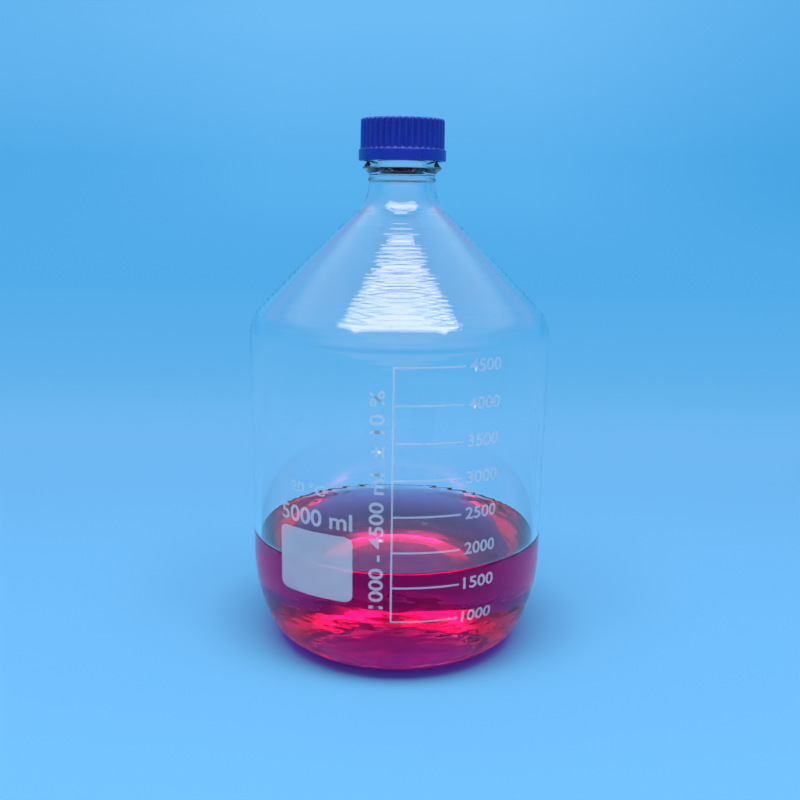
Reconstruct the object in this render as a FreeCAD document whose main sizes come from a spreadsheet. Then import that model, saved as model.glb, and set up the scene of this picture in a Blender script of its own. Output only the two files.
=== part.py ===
import FreeCAD, Part
import math
import os
import Sketcher

# A 5000 ml laboratory media bottle: a blown borosilicate body with a screw neck, a pouring ring
# snapped over its lip, a ribbed screw cap with a sealing disc, and the liquid that it holds.
# Millimetres, +Z up. The origin is on the bottle's axis, in the plane that the foot stands on.
# The front, with the printed scale, faces -Y.

doc = FreeCAD.newDocument("media_bottle")

# Driving sizes, one alias each, with what each one measures.
SIZES = [
    ("body_radius", 90.5, "outside of the cylindrical wall"),
    ("wall", 4.2, "glass thickness of the wall, shoulder, heel and floor"),
    ("foot_width", 8.1, "flat ring that the bottle stands on"),
    ("push_up", 5, "height of the base's hollow at the axis"),
    ("heel_corner_radius", 26, "tight lower arc of the heel"),
    ("heel_side_radius", 108, "long upper arc of the heel"),
    ("heel_side_turn", 22.8, "degrees that the long arc turns"),
    ("shoulder_radius", 23, "arc between the wall and the cone"),
    ("cone_angle", 45, "slope of the shoulder, degrees from level"),
    ("neck_step", 0.8, "from the thread's root in to the neck under the collar"),
    ("neck_fillet", 20, "concave arc between the cone and the neck"),
    ("neck_height", 8.1, "from the concave arc up to the collar's sharp edge"),
    ("neck_ring_rise", 1.3, "from the concave arc up to the fine ring round the neck"),
    ("neck_ring_radius", 1.2, "section radius of the fine ring"),
    ("neck_ring_half", 0.9, "half height of the fine ring, as a share of its section radius"),
    ("collar_overhang", 1.3, "collar's sharp edge beyond the thread's crest"),
    ("collar_rise", 3.9, "from the collar's edge up to the thread's root"),
    ("collar_drop", 3.5, "from the collar's edge down to the neck"),
    ("collar_edge", 0.35, "half width of the collar's blunted edge"),
    ("thread_crest_radius", 22.2, "outside of the glass thread"),
    ("thread_depth", 2, "from the glass thread's crest to its root"),
    ("lip_height", 311.5, "top face of the glass lip"),
    ("finish_height", 22.1, "from the collar's sharp edge up to the lip"),
    ("lip_step", 1.2, "from the thread's root in to the lip under the pouring ring"),
    ("lip_wall", 4, "glass thickness of the lip, which leaves the bore"),
    ("lip_seat_depth", 4.8, "length of the reduced lip"),
    ("lip_round", 1.2, "rounding of the lip's inner edge"),
    ("thread_pitch", 4, "rise in one turn, glass and cap alike"),
    ("thread_root_half", 1.35, "half width of the glass thread at its root"),
    ("thread_flank", 0.35, "narrowing of a half width for each millimetre of height"),
    ("thread_lead", 3.3, "plain root below the glass thread"),
    ("thread_tail", 1.7, "plain root above the glass thread"),
    ("thread_clearance", 0.35, "free gap on each flank"),
    ("thread_bite", 0.3, "depth that a thread's profile runs into its wall"),
    ("ring_clearance", 0.1, "gap between the pouring ring and the glass"),
    ("ring_wall", 1.3, "thickness of the pouring ring's outer skirt and top"),
    ("ring_inner_wall", 0.9, "thickness of the skirt inside the bore"),
    ("ring_outer_depth", 4.2, "length of the outer skirt below the lip"),
    ("ring_inner_depth", 6, "length of the inner skirt below the lip"),
    ("ring_drip", 0.35, "height of the drip edge on the pouring ring"),
    ("liner_thickness", 1.5, "sealing disc"),
    ("liner_overhang", 1, "sealing disc beyond the pouring ring"),
    ("liner_clearance", 0.05, "gap round the sealing disc"),
    ("cap_top", 2.2, "thickness of the cap's top plate"),
    ("cap_root_gap", 0.4, "from the glass thread's crest out to the root of the cap's thread"),
    ("cap_crest_gap", 0.7, "from the glass thread's root out to the crest of the cap's thread"),
    ("cap_seat_gap", 0.2, "gap round the sealing disc in its recess"),
    ("cap_seat_lip", 0.45, "ridge that holds the sealing disc in"),
    ("cap_thread_turns", 2, "turns of the cap's thread"),
    ("cap_wall", 2, "cap wall between the thread's root and the top of the ribs"),
    ("cap_skirt_step", 1, "smooth flange beyond the ribs, at the cap's lower edge"),
    ("cap_skirt_height", 6.4, "height of the smooth flange"),
    ("cap_rib_draft", 0.25, "narrowing of the ribbed part to its top"),
    ("cap_edge_round", 1.3, "rounding of the top edge"),
    ("cap_skirt_round", 0.5, "rounding of the flange's edges"),
    ("rib_count", 40, "ribs round the cap"),
    ("flute_width", 2.7, "valley between two ribs"),
    ("flute_depth", 0.7, "valley between two ribs"),
    ("liquid_level", 69.8, "surface of the liquid"),
    ("liquid_clearance", 0.12, "gap between the liquid and the glass"),
    ("print_gap", 0.02, "under the fired enamel"),
    ("print_thickness", 0.1, "fired enamel"),
    ("scale_azimuth", -1.75, "degrees from the front to the scale's upright line"),
    ("scale_line_width", 1.1, "width of every line of the scale"),
    ("scale_tick_length", 39, "length of a mark along the wall"),
    ("scale_bottom", 42.2, "height of the lowest mark"),
    ("scale_head", 5.85, "from the highest mark up to the shoulder"),
    ("scale_marks", 8, "marks from 1000 to 4500"),
    ("field_azimuth", -31.2, "degrees from the front to the writing field's middle"),
    ("field_width", 49, "writing field, along the wall"),
    ("field_height", 37, "writing field"),
    ("field_bottom", 52.6, "lower edge of the writing field"),
    ("field_corner", 4.5, "corner radius of the writing field"),
]

sheet = doc.addObject("Spreadsheet::Sheet", "Sizes")
for row, (alias, value, meaning) in enumerate(SIZES, start=1):
    sheet.set(f"A{row}", alias)
    sheet.set(f"B{row}", str(value))
    sheet.setAlias(f"B{row}", alias)
    sheet.set(f"C{row}", meaning)
doc.recompute()


def bound(expression):
    """An expression in plain aliases, with each alias turned into its cell of the sheet."""
    words = sorted((alias for alias, _, _ in SIZES), key=len, reverse=True)
    text = expression
    for number, alias in enumerate(words):
        text = text.replace(alias, f"@{number}@")
    for number, alias in enumerate(words):
        text = text.replace(f"@{number}@", f"Sizes.{alias}")
    return text


def value_of(expression):
    """The number that an expression in plain aliases gives now."""
    return float(sheet.evalExpression(bound(expression)))


def origin_plane(body, role):
    """One of a body's own origin planes or axes."""
    return next(feature for feature in body.Origin.OriginFeatures if feature.Role == role)


def new_body(name):
    """An empty body whose label names its file."""
    body = doc.addObject("PartDesign::Body", name)
    body.Label = name
    return body


def new_sketch(body, name, role="XZ_Plane"):
    """A sketch on one of the body's origin planes."""
    sketch = body.newObject("Sketcher::SketchObject", name)
    sketch.AttachmentSupport = [(origin_plane(body, role), "")]
    sketch.MapMode = "FlatFace"
    return sketch


def bind_datum(sketch, constraint, expression):
    """Add one dimension to a sketch and drive it from the sheet."""
    index = sketch.addConstraint(constraint)
    sketch.setExpression(f"Constraints[{index}]", bound(expression))


def pin_corner(sketch, edge, point, across, up):
    """Fix one end of an edge at two coordinates driven from the sheet."""
    for kind, axis, expression in (("DistanceX", -2, across), ("DistanceY", -1, up)):
        value = value_of(expression)
        if expression == "0":
            sketch.addConstraint(Sketcher.Constraint("PointOnObject", edge, point, axis))
        else:
            bind_datum(sketch, Sketcher.Constraint(kind, -1, 1, edge, point, value), expression)


ON_AXIS = "centred on the axis"

# Radii that follow from the glass thread's crest, outwards to the cap and inwards to the bore, and
# heights that follow from the lip: the finish hangs from it, the shoulder hangs from the finish,
# and the wall takes up what is left.
FINISH_RADIUS = "(thread_crest_radius - thread_depth)"
NECK_RADIUS = f"({FINISH_RADIUS} - neck_step)"
LIP_RADIUS = f"({FINISH_RADIUS} - lip_step)"
BORE_RADIUS = f"({LIP_RADIUS} - lip_wall)"
COLLAR_RADIUS = "(thread_crest_radius + collar_overhang)"
RING_RADIUS = f"({LIP_RADIUS} + ring_clearance + ring_wall)"
LINER_RADIUS = f"({RING_RADIUS} + liner_overhang)"
CAP_BORE = "(thread_crest_radius + cap_root_gap)"
CAP_CREST = f"({FINISH_RADIUS} + cap_crest_gap)"
CAP_SEAT = f"({LINER_RADIUS} + cap_seat_gap)"
RIB_RADIUS = f"({CAP_BORE} + cap_wall)"
SKIRT_RADIUS = f"({RIB_RADIUS} + cap_skirt_step)"
COLLAR = "(lip_height - finish_height)"
FINISH_BOTTOM = f"({COLLAR} + collar_rise)"
LIP_SEAT = "(lip_height - lip_seat_depth)"
NECK_BOTTOM = f"({COLLAR} - neck_height)"
SHOULDER_ARCS = "(shoulder_radius + neck_fillet)"
SHOULDER_REACH = f"(body_radius - shoulder_radius - {NECK_RADIUS} - neck_fillet)"
SHOULDER_RISE = (f"(({SHOULDER_ARCS} + {SHOULDER_REACH} * sin(cone_angle * 1 deg))"
                 " / cos(cone_angle * 1 deg))")
SHOULDER_START = f"({NECK_BOTTOM} - {SHOULDER_RISE})"
THREAD_BOTTOM = f"({FINISH_BOTTOM} + thread_lead)"
THREAD_TURNS = f"(({LIP_SEAT} - thread_tail - {THREAD_BOTTOM}) / thread_pitch)"
HEEL_EDGE = ("(body_radius - heel_side_radius"
             " + (heel_side_radius - heel_corner_radius) * cos(heel_side_turn * 1 deg))")
FOOT_EDGE = f"({HEEL_EDGE} - foot_width)"
SCALE_TOP = f"({SHOULDER_START} - scale_head)"


def draw_outline(sketch, corners):
    """Draw a closed outline of lines and arcs, every corner and radius driven from the sheet.

    A corner is (across, up) or (across, up, radius, side): the edge that leaves it is then an arc
    of that radius, with its centre on the left (+1) or right (-1) of the way to the next corner.
    With ON_AXIS as its radius, the arc is part of a circle centred on the bottle's axis.
    """
    points = [FreeCAD.Vector(value_of(corner[0]), value_of(corner[1]), 0) for corner in corners]
    total = len(corners)
    backwards = []
    for index, corner in enumerate(corners):
        start = points[index]
        end = points[(index + 1) % total]
        if len(corner) == 2:
            sketch.addGeometry(Part.LineSegment(start, end))
            backwards.append(False)
            continue
        side = corner[3]
        chord = end - start
        if corner[2] == ON_AXIS:
            radius = (chord.x ** 2 + chord.y ** 2) / (2 * abs(chord.y))
        else:
            radius = value_of(corner[2])
        middle = (start + end) * 0.5
        left = FreeCAD.Vector(-chord.y, chord.x, 0).normalize()
        reach = math.sqrt(max(radius ** 2 - (chord.Length / 2) ** 2, 0))
        centre = middle + left * (side * reach)
        circle = Part.Circle(centre, FreeCAD.Vector(0, 0, 1), radius)
        first, last = (start, end) if side > 0 else (end, start)
        sketch.addGeometry(Part.ArcOfCircle(circle, circle.parameter(first), circle.parameter(last)))
        backwards.append(side < 0)
    for index, corner in enumerate(corners):
        start_point = 2 if backwards[index] else 1
        previous = (index - 1) % total
        end_point = 1 if backwards[previous] else 2
        sketch.addConstraint(
            Sketcher.Constraint("Coincident", previous, end_point, index, start_point))
        if len(corner) == 2:
            continue
        if corner[2] == ON_AXIS:
            sketch.addConstraint(Sketcher.Constraint("PointOnObject", index, 3, -2))
        else:
            radius = value_of(corner[2])
            bind_datum(sketch, Sketcher.Constraint("Radius", index, radius), corner[2])
    for index, corner in enumerate(corners):
        pin_corner(sketch, index, 2 if backwards[index] else 1, corner[0], corner[1])


def revolve(body, sketch, name, angle="360"):
    """Turn a sketch about the bottle's axis."""
    feature = body.newObject("PartDesign::Revolution", name)
    feature.Profile = sketch
    feature.ReferenceAxis = (sketch, ["V_Axis"])
    feature.setExpression("Angle", bound(angle))
    return feature


def heel_corners(inset):
    """Heel outline, from the floor's edge up to the wall, at a depth into the glass."""
    corner = f"(heel_corner_radius - {inset})"
    side = f"(heel_side_radius - {inset})"
    turn = "(heel_side_turn * 1 deg)"
    centre = "(body_radius - heel_side_radius)"
    reach = "(heel_side_radius - heel_corner_radius)"
    side_start = f"(heel_corner_radius + {reach} * sin{turn})"
    return [
        (f"{centre} + {reach} * cos{turn}", f"{inset}", corner, 1),
        (f"{centre} + {side} * cos{turn}", f"{side_start} - {side} * sin{turn}", side, 1),
        (f"body_radius - {inset}", side_start),
    ]


def shoulder_corners(inset, neck, fillet):
    """Shoulder outline, from the wall up to the neck: an arc, the cone and a concave arc."""
    arc = f"(shoulder_radius - {inset})"
    sine = "sin(cone_angle * 1 deg)"
    cosine = "cos(cone_angle * 1 deg)"
    centre = "(body_radius - shoulder_radius)"
    far = f"({neck} + {fillet})"
    far_up = f"({SHOULDER_START} + ({arc} + {fillet} - ({far} - {centre}) * {sine}) / {cosine})"
    return [
        (f"body_radius - {inset}", SHOULDER_START, arc, 1),
        (f"{centre} + {arc} * {sine}", f"{SHOULDER_START} + {arc} * {cosine}"),
        (f"{far} - {fillet} * {sine}", f"{far_up} - {fillet} * {cosine}", fillet, -1),
        (neck, far_up),
    ]


def reverse_corners(corners):
    """The same stretch of outline walked from its last corner to its first."""
    places = [corner[:2] for corner in corners]
    arcs = [corner[2:] for corner in corners]
    turned = []
    for index in range(len(corners) - 1, -1, -1):
        arc = arcs[index - 1] if index > 0 else ()
        turned.append((*places[index], arc[0], -arc[1]) if arc else places[index])
    return turned


def add_thread(body, name, bottom, turns, root, crest, root_half, crest_half):
    """Sweep one right-handed thread with a trapezoid section round the axis."""
    sketch = new_sketch(body, f"{name}_section")
    draw_outline(sketch, [
        (root, f"{bottom} - {root_half}"),
        (crest, f"{bottom} - {crest_half}"),
        (crest, f"{bottom} + {crest_half}"),
        (root, f"{bottom} + {root_half}"),
    ])
    helix = body.newObject("PartDesign::AdditiveHelix", name)
    helix.Profile = sketch
    helix.ReferenceAxis = (sketch, ["V_Axis"])
    helix.Mode = "pitch-turns-angle"
    helix.setExpression("Pitch", bound("thread_pitch"))
    helix.setExpression("Turns", bound(turns))
    helix.LeftHanded = False
    helix.Reversed = False
    return helix


def make_glass_bottle():
    """The blown vessel with its hollow base, cone shoulder, collar and threaded neck."""
    body = new_body("glass_bottle")
    outer_heel = heel_corners("0")
    outer_shoulder = shoulder_corners("0", NECK_RADIUS, "neck_fillet")
    inner_fillet = f"(neck_fillet + {NECK_RADIUS} - {BORE_RADIUS})"
    inner_heel = heel_corners("wall")
    inner_shoulder = shoulder_corners("wall", BORE_RADIUS, inner_fillet)
    ring_low = f"{NECK_BOTTOM} + neck_ring_rise - neck_ring_half * neck_ring_radius"
    ring_high = f"{NECK_BOTTOM} + neck_ring_rise + neck_ring_half * neck_ring_radius"
    up = [
        ("0", "push_up", ON_AXIS, -1),
        (FOOT_EDGE, "0"),
        *outer_heel,
        *outer_shoulder,
        (NECK_RADIUS, ring_low, "neck_ring_radius", 1),
        (NECK_RADIUS, ring_high),
        (NECK_RADIUS, f"{COLLAR} - collar_drop"),
        (COLLAR_RADIUS, f"{COLLAR} - collar_edge"),
        (COLLAR_RADIUS, f"{COLLAR} + collar_edge"),
        (FINISH_RADIUS, FINISH_BOTTOM),
        (FINISH_RADIUS, LIP_SEAT),
        (LIP_RADIUS, LIP_SEAT),
        (LIP_RADIUS, "lip_height"),
        (f"{BORE_RADIUS} + lip_round", "lip_height", "lip_round", 1),
        (BORE_RADIUS, "lip_height - lip_round"),
    ]
    down = reverse_corners(inner_heel + inner_shoulder)
    floor = [
        (FOOT_EDGE, "wall", ON_AXIS, 1),
        ("0", "push_up + wall"),
    ]
    sketch = new_sketch(body, "glass_outline")
    draw_outline(sketch, [*up, *down, *floor])
    revolve(body, sketch, "glass_revolved")
    doc.recompute()
    root = f"({FINISH_RADIUS} - thread_bite)"
    body.Tip = add_thread(
        body, "neck_thread", THREAD_BOTTOM, THREAD_TURNS, root, "thread_crest_radius",
        "(thread_root_half + thread_flank * thread_bite)",
        "(thread_root_half - thread_flank * thread_depth)")
    return body


# The disc lies on the pouring ring's drip edge, and the ring's top lies on the glass lip.
LINER_BOTTOM = "(lip_height + ring_wall + ring_drip)"


def make_pour_ring():
    """The ring snapped over the lip: a skirt outside, a skirt in the bore and a drip edge on top."""
    body = new_body("pour_ring")
    sketch = new_sketch(body, "ring_outline")
    outside = f"({LIP_RADIUS} + ring_clearance)"
    inside = f"({BORE_RADIUS} - ring_clearance)"
    top = "(lip_height + ring_wall)"
    draw_outline(sketch, [
        (f"{inside} - ring_inner_wall", "lip_height - ring_inner_depth"),
        (inside, "lip_height - ring_inner_depth"),
        (inside, "lip_height"),
        (outside, "lip_height"),
        (outside, "lip_height - ring_outer_depth"),
        (f"{outside} + ring_wall", "lip_height - ring_outer_depth"),
        (f"{outside} + ring_wall", top),
        (f"{outside} + ring_wall", f"{top} + ring_drip"),
        (f"{outside}", f"{top} + ring_drip"),
        (f"{outside} - ring_wall", top),
        (f"{inside} - ring_inner_wall + lip_round", top, "lip_round", 1),
        (f"{inside} - ring_inner_wall", f"{top} - lip_round"),
    ])
    revolve(body, sketch, "ring_revolved")
    return body


def make_seal_liner():
    """The flat disc that the cap presses on the pouring ring."""
    liner = doc.addObject("Part::Cylinder", "seal_liner")
    liner.Label = "seal_liner"
    liner.setExpression("Radius", bound(LINER_RADIUS))
    liner.setExpression("Height", bound("liner_thickness"))
    liner.setExpression("Placement.Base.z", bound(LINER_BOTTOM))
    return liner


def make_screw_cap():
    """The moulded cap: a plain flange, ribs all round, a seat for the disc and an inside thread."""
    body = new_body("screw_cap")
    sketch = new_sketch(body, "cap_outline")
    ceiling = f"({LINER_BOTTOM} + liner_thickness + liner_clearance)"
    top = f"({ceiling} + cap_top)"
    skirt_top = f"({FINISH_BOTTOM} + cap_skirt_height)"
    seat = f"({LINER_BOTTOM} - liner_clearance)"
    top_radius = f"({RIB_RADIUS} - cap_rib_draft)"
    draw_outline(sketch, [
        (CAP_BORE, FINISH_BOTTOM),
        (f"{SKIRT_RADIUS} - cap_skirt_round", FINISH_BOTTOM, "cap_skirt_round", 1),
        (SKIRT_RADIUS, f"{FINISH_BOTTOM} + cap_skirt_round"),
        (SKIRT_RADIUS, f"{skirt_top} - cap_skirt_round", "cap_skirt_round", 1),
        (f"{SKIRT_RADIUS} - cap_skirt_round", skirt_top),
        (RIB_RADIUS, skirt_top),
        (top_radius, f"{top} - cap_edge_round", "cap_edge_round", 1),
        (f"{top_radius} - cap_edge_round", top),
        ("0", top),
        ("0", ceiling),
        (CAP_SEAT, ceiling),
        (CAP_SEAT, seat),
        (f"{CAP_SEAT} - cap_seat_lip", f"{seat} - cap_seat_lip"),
        (CAP_BORE, f"{seat} - 2 * cap_seat_lip - ({CAP_BORE} - {CAP_SEAT})"),
    ])
    revolve(body, sketch, "cap_revolved")
    doc.recompute()

    flute = new_sketch(body, "flute_outline", "XY_Plane")
    flute.setExpression("AttachmentOffset.Base.z", bound(skirt_top))
    reach = "((flute_width ^ 2 / 4 + flute_depth ^ 2) / (2 * flute_depth))"
    middle = f"({RIB_RADIUS} - flute_depth + {reach})"
    index = flute.addGeometry(Part.Circle(
        FreeCAD.Vector(value_of(middle), 0, 0), FreeCAD.Vector(0, 0, 1), value_of(reach)))
    flute.addConstraint(Sketcher.Constraint("PointOnObject", index, 3, -1))
    bind_datum(flute, Sketcher.Constraint("DistanceX", -1, 1, index, 3, value_of(middle)), middle)
    bind_datum(flute, Sketcher.Constraint("Radius", index, value_of(reach)), reach)
    pocket = body.newObject("PartDesign::Pocket", "flute")
    pocket.Profile = flute
    pocket.Reversed = True
    pocket.setExpression("Length", bound(f"{top} - {skirt_top} + cap_edge_round"))
    doc.recompute()
    pattern = body.newObject("PartDesign::PolarPattern", "flutes")
    pattern.Originals = [pocket]
    pattern.Axis = (flute, ["N_Axis"])
    pattern.setExpression("Occurrences", bound("rib_count"))
    pattern.Angle = 360
    body.Tip = pattern
    doc.recompute()

    root = f"({CAP_BORE} + thread_bite)"
    glass_half = "(thread_root_half - thread_flank * cap_crest_gap)"
    crest_half = f"(thread_pitch / 2 - {glass_half} - thread_clearance)"
    root_half = f"({crest_half} + thread_flank * ({root} - {CAP_CREST}))"
    half_pitch_up = f"({THREAD_BOTTOM} + thread_pitch / 2)"
    body.Tip = add_thread(
        body, "cap_thread", half_pitch_up, "cap_thread_turns", root, CAP_CREST,
        root_half, crest_half)
    return body


def make_liquid():
    """The filling: it follows the inside of the glass up to its level surface."""
    body = new_body("liquid")
    inset = "(wall + liquid_clearance)"
    sketch = new_sketch(body, "liquid_outline")
    draw_outline(sketch, [
        ("0", f"push_up + {inset}", ON_AXIS, -1),
        (FOOT_EDGE, inset),
        *heel_corners(inset),
        (f"body_radius - {inset}", "liquid_level"),
        ("0", "liquid_level"),
    ])
    revolve(body, sketch, "liquid_revolved")
    return body


def print_section(body, name, low, high):
    """The thin rectangle that turns into one stretch of fired enamel on the wall."""
    sketch = new_sketch(body, name)
    inside = "(body_radius + print_gap)"
    outside = f"({inside} + print_thickness)"
    draw_outline(sketch, [(inside, low), (outside, low), (outside, high), (inside, high)])
    return sketch


def wall_angle(length):
    """Degrees that a length takes up along the wall."""
    return f"({length} / body_radius * 180 / pi)"


def turn_from_front(body, expression):
    """Turn a body about the bottle's axis, counted from the front."""
    body.Placement = FreeCAD.Placement(
        FreeCAD.Vector(0, 0, 0), FreeCAD.Rotation(FreeCAD.Vector(0, 0, 1), value_of(expression)))
    body.setExpression("Placement.Rotation.Angle", bound(expression))


def make_scale_lines():
    """The printed scale: one upright line with a mark for every 500 ml."""
    body = new_body("scale_lines")
    half = "scale_line_width / 2"
    upright = print_section(
        body, "upright_section", f"scale_bottom - {half}", f"{SCALE_TOP} + {half}")
    revolve(body, upright, "upright_line", wall_angle("scale_line_width"))
    doc.recompute()
    mark = print_section(body, "mark_section", f"scale_bottom - {half}", f"scale_bottom + {half}")
    lowest = revolve(body, mark, "lowest_mark", wall_angle("scale_tick_length"))
    doc.recompute()
    pattern = body.newObject("PartDesign::LinearPattern", "marks")
    pattern.Originals = [lowest]
    pattern.Direction = (mark, ["V_Axis"])
    pattern.setExpression("Length", bound(f"{SCALE_TOP} - scale_bottom"))
    pattern.setExpression("Occurrences", bound("scale_marks"))
    body.Tip = pattern
    turn_from_front(body, "scale_azimuth - 90")
    return body


def make_writing_field():
    """The printed field for notes: a rounded rectangle pressed onto the wall."""
    body = new_body("writing_field")
    half = "(field_width / 2)"
    top = "(field_bottom + field_height)"
    inside = "(body_radius + print_gap)"
    outside = f"({inside} + print_thickness)"
    outline = new_sketch(body, "field_outline")
    draw_outline(outline, [
        (f"field_corner - {half}", "field_bottom"),
        (f"{half} - field_corner", "field_bottom", "field_corner", 1),
        (half, "field_bottom + field_corner"),
        (half, f"{top} - field_corner", "field_corner", 1),
        (f"{half} - field_corner", top),
        (f"field_corner - {half}", top, "field_corner", 1),
        (f"-{half}", f"{top} - field_corner"),
        (f"-{half}", "field_bottom + field_corner", "field_corner", 1),
    ])
    block = body.newObject("PartDesign::Pad", "field_block")
    block.Profile = outline
    block.setExpression("Length", bound(f"{outside} + field_corner"))
    doc.recompute()
    for name, near, far in (("core", "0", inside), ("surround", outside, f"2 * {outside}")):
        section = new_sketch(body, f"{name}_section")
        draw_outline(section, [
            (near, "field_bottom - 1"),
            (far, "field_bottom - 1"),
            (far, f"{top} + 1"),
            (near, f"{top} + 1"),
        ])
        groove = body.newObject("PartDesign::Groove", name)
        groove.Profile = section
        groove.ReferenceAxis = (section, ["V_Axis"])
        groove.Angle = 360
        doc.recompute()
    turn_from_front(body, "field_azimuth")
    return body


parts = [
    make_glass_bottle(),
    make_pour_ring(),
    make_seal_liner(),
    make_screw_cap(),
    make_liquid(),
    make_scale_lines(),
    make_writing_field(),
]
doc.recompute()

for item in doc.Objects:
    if "Invalid" in item.State or "Error" in item.State:
        raise RuntimeError(f"{item.Label} is not built: {item.State}")
for part in parts:
    if part.Shape.isNull() or not part.Shape.isValid():
        raise RuntimeError(f"{part.Label} has no valid shape")

os.makedirs("parts", exist_ok=True)
for part in parts:
    part.Shape.exportStep(f"parts/{part.Label}.step")
    box = part.Shape.BoundBox
    print(f"{part.Label}: {len(part.Shape.Solids)} solids, {part.Shape.Volume / 1000:.2f} ml, "
          f"z {box.ZMin:.2f} to {box.ZMax:.2f}")
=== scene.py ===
import math
import bmesh
import bpy
import numpy as np
from mathutils import Matrix, Vector


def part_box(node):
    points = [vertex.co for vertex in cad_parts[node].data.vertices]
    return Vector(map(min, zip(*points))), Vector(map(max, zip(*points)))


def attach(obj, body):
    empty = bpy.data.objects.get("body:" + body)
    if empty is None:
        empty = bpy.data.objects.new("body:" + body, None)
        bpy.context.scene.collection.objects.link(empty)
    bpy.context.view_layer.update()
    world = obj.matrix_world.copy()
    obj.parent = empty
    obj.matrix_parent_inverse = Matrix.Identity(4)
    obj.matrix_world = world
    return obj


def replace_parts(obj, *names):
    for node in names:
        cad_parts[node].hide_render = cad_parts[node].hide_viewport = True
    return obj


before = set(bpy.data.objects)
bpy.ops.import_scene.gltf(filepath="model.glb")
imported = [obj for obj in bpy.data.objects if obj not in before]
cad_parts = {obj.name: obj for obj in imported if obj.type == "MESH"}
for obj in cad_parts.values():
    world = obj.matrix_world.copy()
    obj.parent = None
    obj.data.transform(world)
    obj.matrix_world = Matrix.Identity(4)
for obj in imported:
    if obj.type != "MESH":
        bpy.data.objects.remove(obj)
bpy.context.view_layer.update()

# A 5000 ml laboratory media bottle with a screw cap, part filled with a magenta liquid.
# Sizes are in millimetres in this script and are turned into metres where a mesh is made.

MM = 0.001


def node_box(name):
    """A CAD node's lowest and highest corners in millimetres."""
    low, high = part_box(name)
    return [v / MM for v in low], [v / MM for v in high]


# Sizes that the CAD nodes give.
GLASS_LOW, GLASS_HIGH = node_box("glass_bottle")
LIQUID_LOW, LIQUID_HIGH = node_box("liquid")
CAP_LOW, CAP_HIGH = node_box("screw_cap")
BODY_RADIUS = GLASS_HIGH[0]
LIP = GLASS_HIGH[2]
LEVEL = LIQUID_HIGH[2]
CAP_BOTTOM = CAP_LOW[2]
CAP_TOP = CAP_HIGH[2]
CAP_RADIUS = CAP_HIGH[0]

# Sizes of the glass, as its CAD source states them.
WALL = 4.2
PUSH_UP = 5.0
FOOT_WIDTH = 8.1
HEEL_CORNER = 26.0
HEEL_SIDE = 108.0
HEEL_TURN = math.radians(22.8)
SHOULDER_RADIUS = 23.0
CONE = math.radians(45)
NECK_RADIUS = 19.4
NECK_FILLET = 20.0
NECK_HEIGHT = 8.1
BORE = 15.0
FINISH_HEIGHT = 22.1
FINISH_RADIUS = 20.2
COLLAR_RADIUS = 23.5
COLLAR_RISE = 3.9
COLLAR_DROP = 3.5
LIP_RADIUS = 19.0
LIP_DEPTH = 4.8
THREAD_PITCH = 4.0
THREAD_CREST = 22.2
THREAD_LEAD = 3.3
THREAD_TURNS = 2.1
THREAD_HALF = 1.35

# Radius over the cap's ribs, from the same source.
RIB_RADIUS = 24.6

COLLAR = LIP - FINISH_HEIGHT
FINISH_BOTTOM = COLLAR + COLLAR_RISE
NECK_BOTTOM = COLLAR - NECK_HEIGHT
THREAD_BOTTOM = FINISH_BOTTOM + THREAD_LEAD
HEEL_TOP = HEEL_CORNER + (HEEL_SIDE - HEEL_CORNER) * math.sin(HEEL_TURN)
HEEL_EDGE = BODY_RADIUS - HEEL_SIDE + (HEEL_SIDE - HEEL_CORNER) * math.cos(HEEL_TURN)
FOOT_EDGE = HEEL_EDGE - FOOT_WIDTH
SHOULDER_REACH = BODY_RADIUS - SHOULDER_RADIUS - NECK_RADIUS - NECK_FILLET
SHOULDER_RISE = (SHOULDER_RADIUS + NECK_FILLET + SHOULDER_REACH * math.sin(CONE)) / math.cos(CONE)
SHOULDER_START = NECK_BOTTOM - SHOULDER_RISE


# Outlines: lists of (radius, height) points along a section of the bottle.
def arc(centre, radius, start, end, step=2.5):
    """Points on an arc, by its start and end angle, at most a step apart."""
    count = max(4, math.ceil(abs(end - start) * radius / step))
    angles = np.linspace(start, end, count + 1)
    return [(centre[0] + radius * math.cos(a), centre[1] + radius * math.sin(a)) for a in angles]


def run(start, end, step=2.5):
    """Points on a straight run between two points, both ends included."""
    count = max(1, math.ceil(math.dist(start, end) / step))
    return [tuple(p) for p in np.linspace(start, end, count + 1)]


def rounded(corners, step=0.35):
    """A polyline whose corners, given as (radius, height, rounding), are turned into small arcs."""
    points = []
    for index, corner in enumerate(corners):
        place = np.array(corner[:2], float)
        size = corner[2] if len(corner) > 2 else 0
        if size == 0 or index in (0, len(corners) - 1):
            points.append(tuple(place))
            continue
        before = np.array(corners[index - 1][:2], float) - place
        after = np.array(corners[index + 1][:2], float) - place
        reach = min(size, 0.45 * np.linalg.norm(before), 0.45 * np.linalg.norm(after))
        first = place + before / np.linalg.norm(before) * reach
        last = place + after / np.linalg.norm(after) * reach
        count = max(3, math.ceil(2 * reach / step))
        for t in np.linspace(0, 1, count + 1):
            bend = (1 - t) ** 2 * first + 2 * t * (1 - t) * place + t ** 2 * last
            points.append(tuple(bend))
    return points


def joined(*stretches, gap=1e-4):
    """One outline from several stretches, without doubled points."""
    points = []
    for stretch in stretches:
        for point in stretch:
            if not points or math.dist(points[-1], point) > gap:
                points.append(point)
    return points


def spaced(points, longest):
    """The same outline with long straight pieces divided."""
    out = [points[0]]
    for start, end in zip(points, points[1:]):
        out += run(start, end, longest)[1:]
    return out


def dome(low, rise, edge, step=2.5):
    """The hollow base's arc, from the axis out to its edge, centred on the axis."""
    radius = (edge ** 2 + rise ** 2) / (2 * rise)
    centre = low + rise - radius
    return [(r, centre + math.sqrt(radius ** 2 - r ** 2)) for _, r in run((0, 0), (0, edge), step)]


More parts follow.
